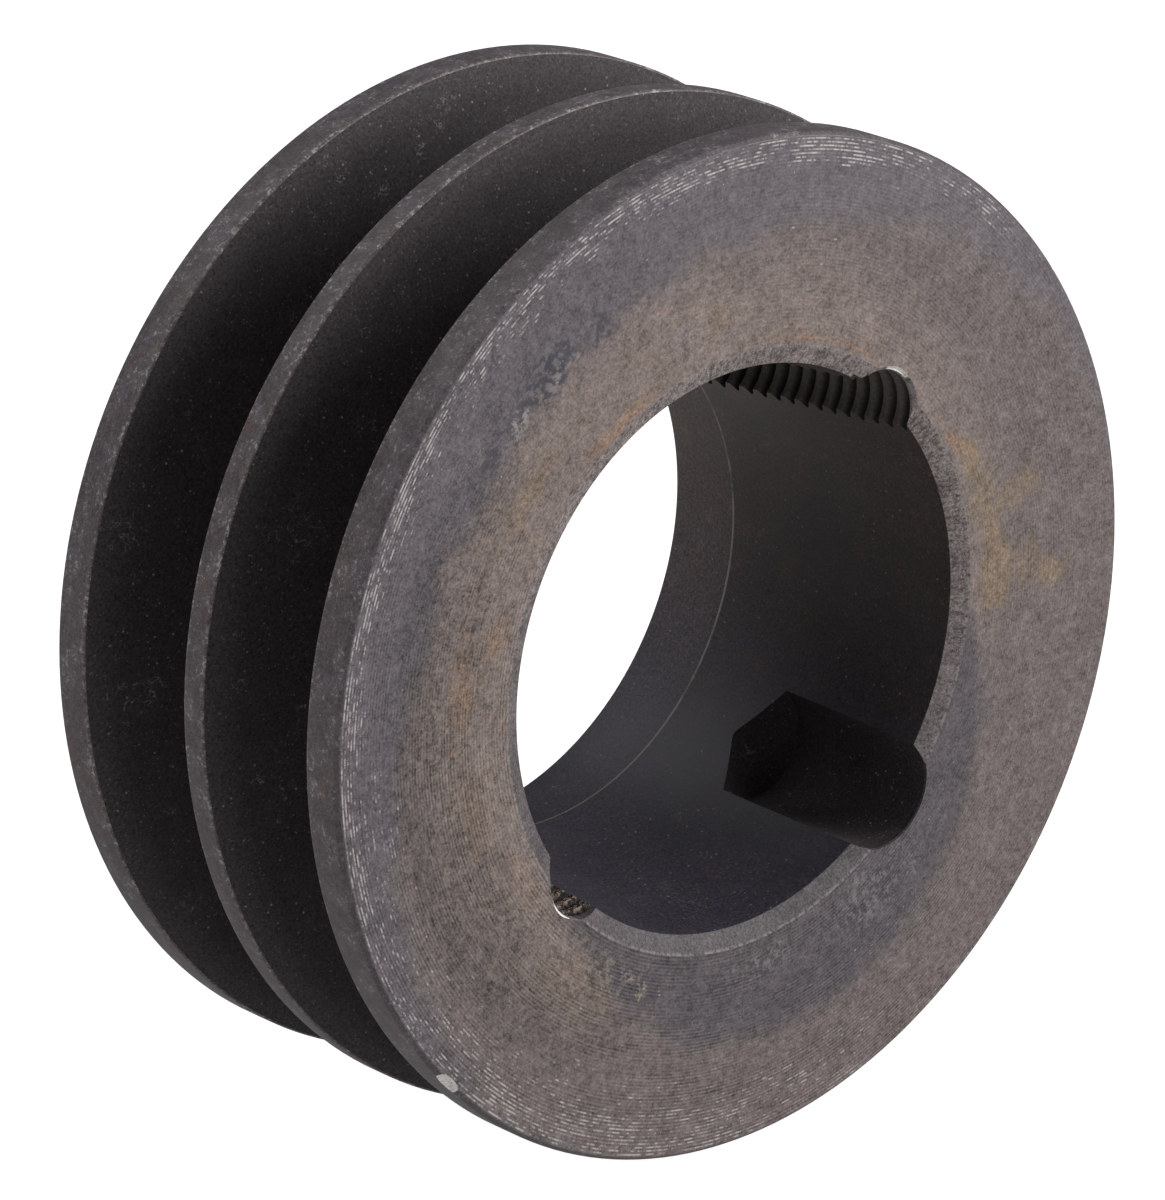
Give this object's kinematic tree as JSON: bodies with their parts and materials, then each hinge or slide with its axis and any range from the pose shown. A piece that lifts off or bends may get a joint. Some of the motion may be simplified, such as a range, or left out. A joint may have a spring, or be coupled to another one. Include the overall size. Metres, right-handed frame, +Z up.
{
  "type": "v-belt pulley",
  "caption": "Cast-iron wedge-belt pulley with V grooves in its rim and a taper bore with half-holes for a clamping bush.",
  "frame": {"origin": "on the pulley's axis, halfway through its width", "axes": "Y is the axis of rotation, the face that takes the bush screws is at -Y, and +Z is up with the jacking half-hole low on the +X side"},
  "size_m": [0.0856, 0.035, 0.0854],
  "materials": {
    "phosphated_iron": "turned grey iron, dark phosphate and oil finish, worn bright at the edges, light rust stains"
  },
  "bodies": {
    "root": {"pulley": "phosphated_iron"}
  },
  "joints": []
}
